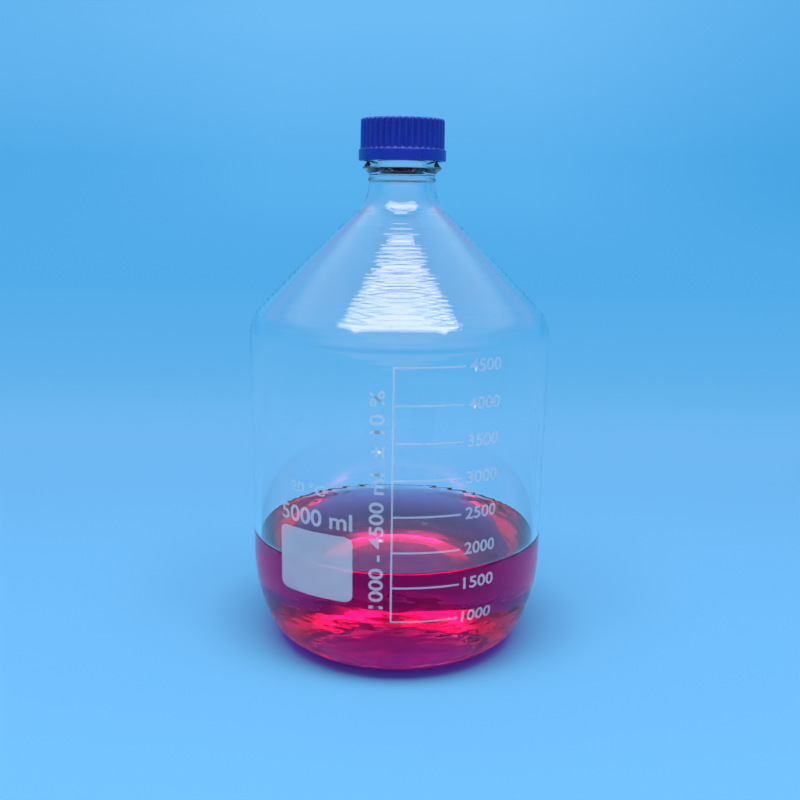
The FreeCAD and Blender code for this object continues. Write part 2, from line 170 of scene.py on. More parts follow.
def heel(inset):
    """Heel and wall outline, from the floor's edge up to the shoulder."""
    corner = arc((HEEL_EDGE, HEEL_CORNER), HEEL_CORNER - inset, -math.pi / 2, -HEEL_TURN, 1.5)
    side = arc((BODY_RADIUS - HEEL_SIDE, HEEL_TOP), HEEL_SIDE - inset, -HEEL_TURN, 0)
    return joined(corner, side)


def shoulder(inset, neck, fillet):
    """Shoulder outline, from the wall's top up to the neck."""
    centre = BODY_RADIUS - SHOULDER_RADIUS
    radius = SHOULDER_RADIUS - inset
    far = neck + fillet
    rise = (radius + fillet - (far - centre) * math.sin(CONE)) / math.cos(CONE)
    turn = arc((centre, SHOULDER_START), radius, 0, CONE, 1.5)
    bend = arc((far, SHOULDER_START + rise), fillet, math.pi + CONE, math.pi, 1.0)
    return joined(turn, run(turn[-1], bend[0], 1.0), bend)


def wall_radius(height):
    """Outside radius of the glass at a height between the heel and the shoulder."""
    if height >= HEEL_TOP:
        return BODY_RADIUS
    return BODY_RADIUS - HEEL_SIDE + math.sqrt(HEEL_SIDE ** 2 - (HEEL_TOP - height) ** 2)


# Meshes
def new_object(name, verts, faces, smooth=True):
    """A mesh object from points in millimetres."""
    mesh = bpy.data.meshes.new(name)
    mesh.from_pydata([tuple(v) for v in np.asarray(verts) * MM], [], [list(f) for f in faces])
    mesh.validate()
    mesh.update()
    for polygon in mesh.polygons:
        polygon.use_smooth = smooth
    item = bpy.data.objects.new(name, mesh)
    bpy.context.scene.collection.objects.link(item)
    return item


def lathe(name, outline, segments, displace=None):
    """Turn an outline about the axis. An outline point on the axis becomes a single pole.

    displace(radius, height, angle) gives a new radius and height for a vertex. The object comes
    back with the outline's row of each of its faces.
    """
    verts = []
    rings = []
    for radius, height in outline:
        if radius < 1e-6:
            rings.append([len(verts)])
            verts.append((0, 0, height))
            continue
        ring = []
        for step in range(segments):
            angle = 2 * math.pi * step / segments
            r, z = displace(radius, height, angle) if displace else (radius, height)
            ring.append(len(verts))
            verts.append((r * math.cos(angle), r * math.sin(angle), z))
        rings.append(ring)
    faces = []
    rows = []
    for row in range(len(rings) - 1):
        low, high = rings[row], rings[row + 1]
        for step in range(segments):
            after = (step + 1) % segments
            if len(low) == 1:
                faces.append((low[0], high[after], high[step]))
            elif len(high) == 1:
                faces.append((low[step], low[after], high[0]))
            else:
                faces.append((low[step], low[after], high[after], high[step]))
            rows.append(row)
    return new_object(name, verts, faces), rows


# Materials
WATER_IOR = 1.33
GLASS_IOR = 1.47
DYE = (0.992, 0.0625, 0.578)
DYE_DENSITY = 32.0
# What lamp light keeps on its way through the liquid's level faces and its upright ones.
LIQUID_FLAT = (0.95, 0.30, 0.92)
LIQUID_STEEP = (0.50, 0.22, 0.80)
# What it keeps in the glass below the level, by the distance from the axis in decimetres.
LOW_TINT = (0.62, 0.06, 0.70)
LOW_STOPS = ((0.57, (1, 1, 1)), (0.63, LOW_TINT), (0.80, LOW_TINT), (0.87, (0.16, 0.05, 0.30)))
# Depths of the blown waves and of the heel's waves, in metres, and the blown waves' length.
RIPPLE = 0.0000090
RIPPLE_LENGTH = 2.6
HEEL_WAVE = 0.0007
# The frosted strip on the heel that stands in for the bright caustic line at the foot, a painted
# highlight: the height of its middle, and half its width.
CAUSTIC_STRIP_MIDDLE = 4.2
CAUSTIC_STRIP_HALF = 1.7


def new_material(name):
    """An empty node material and its output."""
    material = bpy.data.materials.new(name)
    material.use_nodes = True
    tree = material.node_tree
    tree.nodes.clear()
    return material, tree, tree.nodes.new("ShaderNodeOutputMaterial")


def add_node(tree, kind, **inputs):
    """A node with some of its inputs set by name."""
    node = tree.nodes.new(kind)
    for key, value in inputs.items():
        node.inputs[key.replace("_", " ")].default_value = value
    return node


def add_noise(tree, scale, detail=2.0, stretch=(1, 1, 1)):
    """Noise in object coordinates, stretched along the axes."""
    place = tree.nodes.new("ShaderNodeTexCoord")
    mapping = tree.nodes.new("ShaderNodeMapping")
    mapping.inputs["Scale"].default_value = stretch
    pattern = add_node(tree, "ShaderNodeTexNoise", Scale=scale, Detail=detail)
    tree.links.new(place.outputs["Object"], mapping.inputs["Vector"])
    tree.links.new(mapping.outputs["Vector"], pattern.inputs["Vector"])
    return pattern.outputs["Fac"]


def add_ramp(tree, source, low, high, start=0.35, end=0.65):
    """Two colours mixed by a factor."""
    ramp = tree.nodes.new("ShaderNodeValToRGB")
    ramp.color_ramp.elements[0].position = start
    ramp.color_ramp.elements[0].color = (*low, 1)
    ramp.color_ramp.elements[1].position = end
    ramp.color_ramp.elements[1].color = (*high, 1)
    tree.links.new(source, ramp.inputs["Fac"])
    return ramp.outputs["Color"]


def add_stops(tree, source, stops):
    """A colour for each value, by (position, colour) stops."""
    ramp = tree.nodes.new("ShaderNodeValToRGB")
    for position, colour in stops[1:-1]:
        ramp.color_ramp.elements.new(position).color = (*colour, 1)
    for element, (position, colour) in ((0, stops[0]), (-1, stops[-1])):
        ramp.color_ramp.elements[element].position = position
        ramp.color_ramp.elements[element].color = (*colour, 1)
    tree.links.new(source, ramp.inputs["Fac"])
    return ramp.outputs["Color"]


def add_range(tree, source, low, high):
    """A factor turned into a number between two ends."""
    node = add_node(tree, "ShaderNodeMapRange")
    node.inputs["To Min"].default_value = low
    node.inputs["To Max"].default_value = high
    tree.links.new(source, node.inputs["Value"])
    return node.outputs["Result"]


def add_bump(tree, source, strength, distance):
    """A bump from a factor."""
    bump = add_node(tree, "ShaderNodeBump", Strength=strength, Distance=distance)
    tree.links.new(source, bump.inputs["Height"])
    return bump.outputs["Normal"]


def add_slope(tree, flat, steep):
    """A colour that goes from one on level faces to another on upright ones."""
    shape = tree.nodes.new("ShaderNodeNewGeometry")
    split = tree.nodes.new("ShaderNodeSeparateXYZ")
    tree.links.new(shape.outputs["Normal"], split.inputs["Vector"])
    lean = add_math(tree, "ABSOLUTE", split.outputs["Z"], 0.0)
    return add_ramp(tree, lean, steep, flat, 0.15, 0.85)


def add_math(tree, operation, first, second):
    """Two values, or a value and a number, put together."""
    node = add_node(tree, "ShaderNodeMath")
    node.operation = operation
    for socket, value in zip(node.inputs, (first, second)):
        if isinstance(value, (int, float)):
            socket.default_value = value
        else:
            tree.links.new(value, socket)
    return node.outputs["Value"]


def add_smooth(tree, source, start, end, least=0.0):
    """A factor that goes smoothly from least to 1 between two values of its source."""
    node = add_node(tree, "ShaderNodeMapRange")
    node.interpolation_type = "SMOOTHSTEP"
    node.inputs["From Min"].default_value = start
    node.inputs["From Max"].default_value = end
    node.inputs["To Min"].default_value = least
    tree.links.new(source, node.inputs["Value"])
    return node.outputs["Result"]


def mix_colours(tree, share, first, second):
    """Two colours mixed by a factor."""
    node = add_node(tree, "ShaderNodeMix")
    node.data_type = "RGBA"
    for socket, value in ((0, share), (6, first), (7, second)):
        tree.links.new(value, node.inputs[socket])
    return node.outputs[2]


def mix_shaders(tree, share, first, second):
    """Two shaders mixed by a factor."""
    node = tree.nodes.new("ShaderNodeMixShader")
    for socket, value in enumerate((share, first, second)):
        tree.links.new(value, node.inputs[socket])
    return node.outputs["Shader"]


def place_axes(tree, space="Object"):
    """The X, Y and Z of a place."""
    place = tree.nodes.new("ShaderNodeTexCoord")
    split = tree.nodes.new("ShaderNodeSeparateXYZ")
    tree.links.new(place.outputs[space], split.inputs["Vector"])
    return split.outputs


def ripple_height(tree):
    """Height of the fine turned waves of blown glass, strongest on the shoulder."""
    height = place_axes(tree)["Z"]
    drift = tree.nodes.new("ShaderNodeTexNoise")
    drift.noise_dimensions = "1D"
    drift.inputs["Scale"].default_value = 1 / (9.0 * MM)
    drift.inputs["Detail"].default_value = 1.0
    tree.links.new(height, drift.inputs["W"])
    turn = add_math(tree, "MULTIPLY", height, 2 * math.pi / (RIPPLE_LENGTH * MM))
    turn = add_math(tree, "ADD", turn, add_math(tree, "MULTIPLY", drift.outputs["Fac"], 9.0))
    turn = add_math(tree, "ADD", turn, add_math(tree, "MULTIPLY", add_noise(tree, 18.0, 0.0), 6.0))
    share = add_smooth(tree, height, (SHOULDER_START - 2) * MM, (SHOULDER_START + 10) * MM, 0.12)
    band = add_math(tree, "MULTIPLY", add_math(tree, "SINE", turn, 0.0), share)
    blown = add_math(tree, "MULTIPLY", add_noise(tree, 34.0, 1.0), 2.7)
    return add_math(tree, "ADD", band, blown)


def heel_height(tree):
    """Height of the slow waves in the heel and the wall below the liquid's level."""
    slow = add_noise(tree, 26.0, 2.0, (1, 1, 3.5))
    fine = add_noise(tree, 90.0, 1.0, (1, 1, 2.5))
    return add_math(tree, "ADD", slow, add_math(tree, "MULTIPLY", fine, 0.12))


def add_caustic_strip(tree, shader):
    """A frosted strip low on the heel, lit through the liquid: a painted highlight for the caustic line
    at the foot.
    """
    high = add_math(tree, "SUBTRACT", place_axes(tree)["Z"], CAUSTIC_STRIP_MIDDLE * MM)
    near = add_math(tree, "LESS_THAN", add_math(tree, "ABSOLUTE", high, 0.0), CAUSTIC_STRIP_HALF * MM)
    patchy = add_range(tree, add_noise(tree, 60.0, 2.0), 0.25, 1.0)
    frost = add_node(tree, "ShaderNodeBsdfTranslucent", Color=(1.0, 0.95, 1.0, 1))
    return mix_shaders(tree, add_math(tree, "MULTIPLY", near, patchy), shader, frost.outputs["BSDF"])


def object_radius(tree):
    """Distance from the axis, and height, in object coordinates."""
    axes = place_axes(tree)
    across = add_math(tree, "MULTIPLY", axes["X"], axes["X"])
    along = add_math(tree, "MULTIPLY", axes["Y"], axes["Y"])
    return add_math(tree, "SQRT", add_math(tree, "ADD", across, along), 0.0), axes["Z"]


def pass_lamps(tree, body, tint):
    """Let lamp light straight through a clear body, with a tint."""
    through = add_node(tree, "ShaderNodeBsdfTransparent")
    tree.links.new(tint, through.inputs["Color"])
    path = tree.nodes.new("ShaderNodeLightPath")
    return mix_shaders(tree, path.outputs["Is Shadow Ray"], body, through.outputs["BSDF"])


def clear_material(name, ior, mirror, tints=None, wave=None, depth=0.0):
    """A clear medium, whose tints for lamp light are those of its level and its upright faces.

    Without tints it is the bottle's lower end, tinted by radius and with a frosted strip low on its
    heel, a painted highlight for the caustic line at the foot.
    """
    material, tree, out = new_material(name)
    grain = add_noise(tree, 60.0)
    shader = add_node(tree, "ShaderNodeBsdfPrincipled", IOR=ior)
    shader.inputs["Transmission Weight"].default_value = 1
    shader.inputs["Specular Tint"].default_value = (*mirror, 1)
    tree.links.new(add_ramp(tree, grain, (0.985, 0.992, 0.992), (1, 1, 1)), shader.inputs["Base Color"])
    tree.links.new(add_range(tree, grain, 0.0, 0.004), shader.inputs["Roughness"])
    if wave:
        tree.links.new(add_bump(tree, wave(tree), 1.0, depth), shader.inputs["Normal"])
    body = shader.outputs["BSDF"]
    if tints:
        tint = add_slope(tree, *tints)
    else:
        # A frosted strip on the heel: painted highlight for the caustic line at the foot.
        body = add_caustic_strip(tree, body)
        tint = add_stops(tree, add_math(tree, "MULTIPLY", object_radius(tree)[0], 10.0), LOW_STOPS)
    tree.links.new(pass_lamps(tree, body, tint), out.inputs["Surface"])
    return material


def liquid_material():
    """Dyed liquid. Its open surface mirrors, and its wetted sides meet the glass without a sheen."""
    material, tree, out = new_material("magenta_liquid")
    grain = add_noise(tree, 25.0)
    shaders = []
    for mirror in (0.0, 1.0):
        shader = add_node(tree, "ShaderNodeBsdfPrincipled", IOR=WATER_IOR)
        shader.inputs["Transmission Weight"].default_value = 1
        shader.inputs["Specular Tint"].default_value = (mirror, mirror, mirror, 1)
        shader.inputs["Base Color"].default_value = (1, 1, 1, 1)
        tree.links.new(add_range(tree, grain, 0.0, 0.003), shader.inputs["Roughness"])
        shaders.append(shader.outputs["BSDF"])
    shape = tree.nodes.new("ShaderNodeNewGeometry")
    lean = tree.nodes.new("ShaderNodeSeparateXYZ")
    tree.links.new(shape.outputs["True Normal"], lean.inputs["Vector"])
    upper = add_math(tree, "GREATER_THAN", place_axes(tree)["Z"], (LEVEL - 3) * MM)
    level = add_math(tree, "GREATER_THAN", add_math(tree, "ABSOLUTE", lean.outputs["Z"], 0.0), 0.25)
    body = mix_shaders(tree, add_math(tree, "MULTIPLY", upper, level), *shaders)
    tint = add_slope(tree, LIQUID_FLAT, LIQUID_STEEP)
    tree.links.new(pass_lamps(tree, body, tint), out.inputs["Surface"])
    dye = add_node(tree, "ShaderNodeVolumeAbsorption", Color=(*DYE, 1), Density=DYE_DENSITY)
    tree.links.new(dye.outputs["Volume"], out.inputs["Volume"])
    return material


# The wetted glass has the liquid's index, so that no second edge shows between the two.
GLASS = clear_material("borosilicate_glass", GLASS_IOR, (1.0, 0.74, 0.62),
                       ((0.97, 0.98, 0.985), (0.90, 0.93, 0.94)), ripple_height, RIPPLE)
WET_GLASS = clear_material("wet_glass", WATER_IOR, (0, 0, 0),
                           ((1, 1, 1), (0.85, 0.85, 0.85)), heel_height, HEEL_WAVE)
LOW_GLASS = clear_material("borosilicate_glass_low", WATER_IOR, (0.25, 0.18, 0.2))
LIQUID = liquid_material()


def painted_groove_shade(tree):
    """Painted shade: a factor that darkens the colour in the valleys between the cap's ribs, but not on
    the top.
    """
    radius, height = object_radius(tree)
    shade = add_smooth(tree, radius, (RIB_RADIUS - 1.0) * MM, (RIB_RADIUS - 0.45) * MM, 0.66)
    top = add_math(tree, "GREATER_THAN", height, (CAP_TOP - 0.6) * MM)
    return add_math(tree, "MAXIMUM", shade, top)


def plastic_material(name, dark, light, roughness, grain_scale, shade_grooves=False):
    """Moulded plastic with faint mottling, a fine skin and uneven gloss; if asked, painted shade in the
    valleys between its ribs.
    """
    material, tree, out = new_material(name)
    grain = add_noise(tree, grain_scale, 3.0)
    skin = add_noise(tree, 1400.0, 2.0)
    shader = add_node(tree, "ShaderNodeBsdfPrincipled", IOR=1.49)
    colour = add_ramp(tree, grain, dark, light, 0.2, 0.8)
    # Painted shade: the colour is darkened in the valleys between the ribs.
    if shade_grooves:
        shaded = add_node(tree, "ShaderNodeVectorMath")
        shaded.operation = "SCALE"
        tree.links.new(colour, shaded.inputs[0])
        tree.links.new(painted_groove_shade(tree), shaded.inputs["Scale"])
        colour = shaded.outputs["Vector"]
    tree.links.new(colour, shader.inputs["Base Color"])
    tree.links.new(add_range(tree, grain, roughness, roughness + 0.08), shader.inputs["Roughness"])
    tree.links.new(add_bump(tree, skin, 0.08, 0.00008), shader.inputs["Normal"])
    tree.links.new(shader.outputs["BSDF"], out.inputs["Surface"])
    return material


BLUE_PLASTIC = plastic_material(
    "blue_polypropylene", (0.006, 0.031, 0.43), (0.008, 0.041, 0.50), 0.24, 120, shade_grooves=True)
# The liner is coloured dark navy rather than white: painted shade for the dark inside of the cap that
# shows through the neck.
SHADED_LINER_PLASTIC = plastic_material("white_liner", (0.020, 0.020, 0.10), (0.030, 0.028, 0.13), 0.5, 220)


def enamel_material():
    """Thin fired white print that lets a little of what lies behind it through."""
    material, tree, out = new_material("white_enamel")
    grain = add_noise(tree, 45.0, 2.0)
    shader = add_node(tree, "ShaderNodeBsdfPrincipled", IOR=1.5)
    white = add_ramp(tree, grain, (0.91, 0.89, 0.94), (0.96, 0.94, 0.98))
    tree.links.new(white, shader.inputs["Base Color"])
    tree.links.new(add_range(tree, grain, 0.35, 0.5), shader.inputs["Roughness"])
    tree.links.new(add_range(tree, grain, 0.62, 0.70), shader.inputs["Alpha"])
    tree.links.new(shader.outputs["BSDF"], out.inputs["Surface"])
    return material


ENAMEL = enamel_material()


# Glass
SEGMENTS = 240


def glass_outline():
    """The whole section, from the base's underside up outside, over the lip and down inside."""
    ring_half = 1.08
    ring_middle = NECK_BOTTOM + 1.3
    ring_radius = 1.2
    ring_out = 0.68
    outside = joined(
        dome(0, PUSH_UP, FOOT_EDGE),
        run((FOOT_EDGE, 0), (HEEL_EDGE, 0)),
        heel(0),
        run((BODY_RADIUS, HEEL_TOP), (BODY_RADIUS, SHOULDER_START), 3.0),
        shoulder(0, NECK_RADIUS, NECK_FILLET),
    )
    ring_start = math.asin(ring_half / ring_radius)
    ring = arc((NECK_RADIUS + ring_out - ring_radius, ring_middle), ring_radius,
               -ring_start, ring_start, 0.2)
    finish = rounded([
        ring[-1],
        (NECK_RADIUS, COLLAR - COLLAR_DROP, 1.2),
        (COLLAR_RADIUS, COLLAR, 0.8),
        (FINISH_RADIUS, FINISH_BOTTOM, 1.2),
        (FINISH_RADIUS, LIP - LIP_DEPTH, 0.3),
        (LIP_RADIUS, LIP - LIP_DEPTH, 0.3),
        (LIP_RADIUS, LIP, 0.8),
        (BORE, LIP, 1.2),
        (BORE, LIP - 12),
    ])
    inner_fillet = NECK_FILLET + NECK_RADIUS - BORE
    down = joined(
        heel(WALL),
        run((BODY_RADIUS - WALL, HEEL_TOP), (BODY_RADIUS - WALL, SHOULDER_START), 3.0),
        shoulder(WALL, BORE, inner_fillet),
    )[::-1]
    floor = [(r, z + WALL) for r, z in dome(0, PUSH_UP, FOOT_EDGE)][::-1]
    return joined(outside, ring, spaced(finish, 0.6), run(finish[-1], down[0]), down, floor)


def thread_height(radius, height, angle):
    """How far the glass thread stands out at a place on the finish."""
    turn = angle / (2 * math.pi)
    best = 0.0
    for lap in range(-1, 4):
        along = turn + lap
        if not 0 <= along <= THREAD_TURNS:
            continue
        middle = THREAD_BOTTOM + along * THREAD_PITCH
        away = abs(height - middle)
        fade = min(1, along / 0.12, (THREAD_TURNS - along) / 0.12)
        flank = (THREAD_HALF + 0.25 - away) / 0.75
        shape = min(max(flank, 0), 1)
        shape = shape * shape * (3 - 2 * shape)
        best = max(best, shape * (THREAD_CREST - FINISH_RADIUS) * math.sin(fade * math.pi / 2))
    return best


# How the shoulder's slope departs from its cone, in degrees, by height above the shoulder's start.
SLOPE_STOPS = (
    (14.0, -1.0), (30.0, -0.7), (43.0, 0.0), (53.0, 0.1), (59.0, 0.2), (61.0, 0.5),
    (62.4, 1.3), (63.6, 3.4), (64.8, 0.6), (65.6, 0.5), (66.8, 3.0), (67.8, 0.3),
    (68.6, 0.3), (69.8, 4.4), (70.9, 1.0), (72.5, -2.5), (75.5, -4.5), (79.0, -3.0),
    (84.0, -1.0), (88.9, 0.0),
)


def slope_table():
    """Running departure of the shoulder's radius that the slopes give, closed at the neck.

    On a cone of 45 degrees the radius changes by twice the slope for each step of height.
    """
    heights = np.linspace(SLOPE_STOPS[0][0], SLOPE_STOPS[-1][0], 400)
    slopes = np.radians(np.interp(heights, *zip(*SLOPE_STOPS)))
    drift = -np.concatenate([[0], np.cumsum((slopes[1:] + slopes[:-1]) * np.diff(heights))])
    drift -= drift[-1] * (heights - heights[0]) / (heights[-1] - heights[0])
    return heights, drift


SLOPE_HEIGHTS, SLOPE_DRIFT = slope_table()


def glass_displace(radius, height, angle):
    """Thread on the finish, and the uneven slope of the blown shoulder."""
    if radius > 19.9 and FINISH_BOTTOM - 0.4 < height < LIP - LIP_DEPTH - 0.05:
        return radius + thread_height(radius, height, angle), height
    above = height - SHOULDER_START
    if SLOPE_HEIGHTS[0] < above < SLOPE_HEIGHTS[-1]:
        return radius + float(np.interp(above, SLOPE_HEIGHTS, SLOPE_DRIFT)), height
    return radius, height


glass_rows = glass_outline()
glass, face_rows = lathe("glass_bottle_blown", glass_rows, SEGMENTS, glass_displace)
for material in (GLASS, WET_GLASS, LOW_GLASS):
    glass.data.materials.append(material)
lip_row = max(range(len(glass_rows)), key=lambda i: glass_rows[i][1])
for polygon, row in zip(glass.data.polygons, face_rows):
    if glass_rows[row][1] < LEVEL:
        polygon.material_index = 1 if row > lip_row else 2
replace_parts(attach(glass, "bottle"), "glass_bottle")


# Liquid
OVERLAP = 0.3
MENISCUS_RISE = 1.5
MENISCUS_WIDTH = 1.7


def liquid_outline():
    """Section of the liquid, let a little into the glass, with its edge drawn up the wall."""
    inset = WALL - OVERLAP
    edge = BODY_RADIUS - inset
    below = [(r, z + inset) for r, z in dome(0, PUSH_UP, FOOT_EDGE)]
    top = []
    for r in [*np.linspace(edge, edge - 8, 20), *np.linspace(edge - 10, 0, 34)]:
        depth = max(edge - OVERLAP - r, 0)
        top.append((r, LEVEL - 0.7 + MENISCUS_RISE * math.exp(-depth / MENISCUS_WIDTH)))
    return joined(below, heel(inset), run((edge, HEEL_TOP), top[0], 2.0), top)


liquid = lathe("magenta_liquid", liquid_outline(), 192)[0]
liquid.data.materials.append(LIQUID)
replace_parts(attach(liquid, "bottle"), "liquid")


# Cap
RIBS = 40
FLUTE_WIDTH = 2.7
FLUTE_DEPTH = 0.85
SKIRT_TOP = CAP_BOTTOM + 6.4
# Where the ribs run out on the top, and the height of the rounding there.
RIB_START = 20
TOP_ROUND = 1.6
CAP_BORE = 22.6
CAP_CREST = 20.9
CAP_THREAD_TURNS = 2.0
CAP_THREAD_CREST_HALF = 0.545
CAP_THREAD_ROOT_HALF = 1.2
SEAT_LIP = 0.45
LINER_LOW, LINER_HIGH = node_box("seal_liner")
CAP_SEAT = LINER_HIGH[0] + 0.2
CAP_CEILING = LINER_HIGH[2] + 0.05


def cap_outline():
    """Section of the cap: its ceiling, the liner's seat, the bore, then over the outside to the axis."""
    top_radius = RIB_RADIUS - 0.25
    seat = LINER_LOW[2] - 0.05
    corners = [
        (0, CAP_CEILING),
        (CAP_SEAT, CAP_CEILING, 0.2),
        (CAP_SEAT, seat, 0.2),
        (CAP_SEAT - SEAT_LIP, seat - SEAT_LIP, 0.2),
        (CAP_BORE, seat - 2 * SEAT_LIP - CAP_BORE + CAP_SEAT, 0.3),
        (CAP_BORE, CAP_BOTTOM, 0.4),
        (CAP_RADIUS, CAP_BOTTOM, 0.6),
        (CAP_RADIUS, SKIRT_TOP, 0.7),
        (RIB_RADIUS, SKIRT_TOP, 0.4),
        (top_radius, CAP_TOP, 1.5),
        (0, CAP_TOP),
    ]
    outline = rounded(corners, 0.25)
    points = []
    for start, end in zip(outline, outline[1:]):
        fine = abs(start[0] - CAP_BORE) < 0.01 and abs(end[0] - CAP_BORE) < 0.01
        points += run(start, end, 0.4 if fine else 0.9)
    return joined(points)


def cap_thread_height(height, angle):
    """How far the cap's thread stands in from its bore."""
    best = 0.0
    for lap in range(0, 3):
        along = angle / (2 * math.pi) + lap
        if along > CAP_THREAD_TURNS:
            continue
        away = abs(height - THREAD_BOTTOM - THREAD_PITCH * (0.5 + along))
        flank = (CAP_THREAD_ROOT_HALF - away) / (CAP_THREAD_ROOT_HALF - CAP_THREAD_CREST_HALF)
        shape = min(max(flank, 0), 1)
        fade = min(1, along / 0.1, (CAP_THREAD_TURNS - along) / 0.1)
        best = max(best, shape * fade * (CAP_BORE - CAP_CREST))
    return best


def rib_displace(radius, height, angle):
    """Ribs between shallow valleys round the cap, above its plain flange."""
    if abs(radius - CAP_BORE) < 0.01:
        return radius - cap_thread_height(height, angle), height
    inner = CAP_BORE + 0.5 if height < CAP_TOP - TOP_ROUND else RIB_START
    if height < SKIRT_TOP + 0.05 or radius < inner:
        return radius, height
    pitch = 2 * math.pi / RIBS
    across = (angle + pitch / 2) % pitch - pitch / 2
    share = abs(across) * RIB_RADIUS / (FLUTE_WIDTH / 2)
    valley = max(0.0, 1 - share * share)
    valley = valley * valley * (3 - 2 * valley) * 0.35 + valley * 0.65
    start = min(1, (height - SKIRT_TOP) / 0.5)
    edge = min(1, (radius - RIB_START) / 2.6)
    near_top = max(0.0, (height - CAP_TOP + TOP_ROUND) / TOP_ROUND)
    return radius - FLUTE_DEPTH * valley * start * edge, height - 0.5 * valley * near_top * edge


cap = lathe("screw_cap_moulded", cap_outline(), RIBS * 14, rib_displace)[0]
cap.data.materials.append(BLUE_PLASTIC)
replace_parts(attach(cap, "cap"), "screw_cap")


# Carried-over CAD nodes
def finish_node(name, material):
    """Give a CAD node a finished material."""
    item = bpy.data.objects[name]
    item.data.materials.clear()
    item.data.materials.append(material)


finish_node("pour_ring", BLUE_PLASTIC)
finish_node("seal_liner", SHADED_LINER_PLASTIC)


# Drops inside the glass, and a bubble on the liquid
DROPS = 12


def outward(item):
    """Turn a closed mesh's faces outward."""
    work = bmesh.new()
    work.from_mesh(item.data)
    bmesh.ops.recalc_face_normals(work, faces=work.faces)
    work.to_mesh(item.data)
    work.free()
    return item


def make_drops():
    """A few small drops that hang on the inner wall at the right."""
    chance = np.random.default_rng(7)
    verts = []
    faces = []
    around, rings = 16, 5
    for _ in range(DROPS):
        turn = math.radians(chance.uniform(73, 86))
        up = LEVEL + chance.uniform(5, 96)
        size = chance.uniform(0.4, 1.0)
        lobe = chance.uniform(0, 6)
        first = len(verts)
        for ring in range(rings + 1):
            share = 1 - ring / rings
            for step in range(around):
                angle = 2 * math.pi * step / around
                reach = size * max(share, 0.02) * (1 + 0.12 * math.sin(2 * angle + lobe))
                across = reach * math.cos(angle)
                along = reach * math.sin(angle) * (1.7 if math.sin(angle) > 0 else 1.1)
                radius = BODY_RADIUS - WALL + 0.08 - 0.55 * size * (1 - share * share)
                side = turn + across / radius
                verts.append((radius * math.sin(side), -radius * math.cos(side), up + along))
        faces.append(tuple(range(first, first + around)))
        faces.append(tuple(range(first + rings * around, first + (rings + 1) * around)))
        for ring in range(rings):
            low = first + ring * around
            for step in range(around):
                after = (step + 1) % around
                faces.append((low + step, low + after, low + around + after, low + around + step))
    return outward(new_object("wall_drops", verts, faces))


def make_bubble():
    """A thin-walled bubble that floats on the liquid."""
    outer = arc((0, 0), 1.8, math.pi / 2, -0.5, 0.3)
    inner = arc((0, 0), 1.62, -0.5, math.pi / 2, 0.3)
    section = [(abs(r) if abs(r) > 1e-6 else 0.0, LEVEL - 0.7 + 0.62 * z) for r, z in outer + inner]
    item = lathe("surface_bubble", section, 32)[0]
    item.data.transform(Matrix.Translation((18 * MM, 3 * MM, 0)))
    return outward(item)


WATER = clear_material("clear_water", WATER_IOR, (1, 1, 1), ((0.95, 0.95, 0.95), (0.8, 0.8, 0.8)))
for item in (make_drops(), make_bubble()):
    item.data.materials.append(WATER)
    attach(item, "bottle")


# Print
PRINT_LIFT = 0.07
BOLD = 0.020
SCALE_AZIMUTH = -1.75
SCALE_BOTTOM = 42.2
SCALE_TOP = SHOULDER_START - 5.85
SCALE_MARKS = 8
LINE_WIDTH = 1.1
TICK_LENGTH = 39.0
FIELD_AZIMUTH = -31.2
NUMBER_AZIMUTH = 24.6
# Height of a capital in the built-in letters, as a share of their size.
CAPITAL = 0.729


def on_wall(across, up, azimuth):
    """A point of the print, laid on the glass: across along the wall, up in height."""
    turn = math.radians(azimuth) + across / BODY_RADIUS
    radius = wall_radius(up) + PRINT_LIFT
    return radius * math.sin(turn), -radius * math.cos(turn), up


def print_grid(name, left, right, low, high, azimuth, corner=0.0, step=1.5):
    """A patch of print on the wall, with rounded corners if asked."""
    columns = max(1, math.ceil((right - left) / step))
    levels = max(1, math.ceil((high - low) / step))
    if corner:
        columns, levels = max(columns, 40), max(levels, 32)
    verts = []
    for j in range(levels + 1):
        up = low + (high - low) * j / levels
        inside = min(up - low, high - up, corner)
        cut = corner - math.sqrt(max(corner ** 2 - (corner - inside) ** 2, 0)) if corner else 0
        for i in range(columns + 1):
            across = left + cut + (right - left - 2 * cut) * i / columns
            verts.append(on_wall(across, up, azimuth))
    wide = columns + 1
    faces = [
        (j * wide + i, j * wide + i + 1, (j + 1) * wide + i + 1, (j + 1) * wide + i)
        for j in range(levels) for i in range(columns)
    ]
    return new_object(name, verts, faces)


def print_text(name, words, height, width, left, low, azimuth, upright=False):
    """Words in the built-in plain letters, laid on the wall. upright runs them bottom to top."""
    curve = bpy.data.curves.new(name, "FONT")
    curve.body = words
    curve.size = 1.0
    curve.resolution_u = 6
    curve.offset = BOLD
    letters = bpy.data.objects.new(name, curve)
    bpy.context.scene.collection.objects.link(letters)
    bpy.context.view_layer.update()
    graph = bpy.context.evaluated_depsgraph_get()
    mesh = bpy.data.meshes.new_from_object(letters.evaluated_get(graph))
    bpy.data.objects.remove(letters)
    places = np.array([v.co[:2] for v in mesh.vertices])
    places[:, 0] -= places[:, 0].min()
    places *= height / CAPITAL
    places[:, 0] *= width / places[:, 0].max()
    if upright:
        verts = [on_wall(left - y, low + x, azimuth) for x, y in places]
    else:
        verts = [on_wall(left + x, low + y, azimuth) for x, y in places]
    faces = [tuple(p.vertices) for p in mesh.polygons]
    bpy.data.meshes.remove(mesh)
    return new_object(name, verts, faces)


def join_print(name, items):
    """Several patches of print as one object."""
    verts = []
    faces = []
    for item in items:
        start = len(verts)
        verts += [tuple(c / MM for c in v.co) for v in item.data.vertices]
        faces += [tuple(start + i for i in p.vertices) for p in item.data.polygons]
        bpy.data.objects.remove(item)
    return new_object(name, verts, faces)


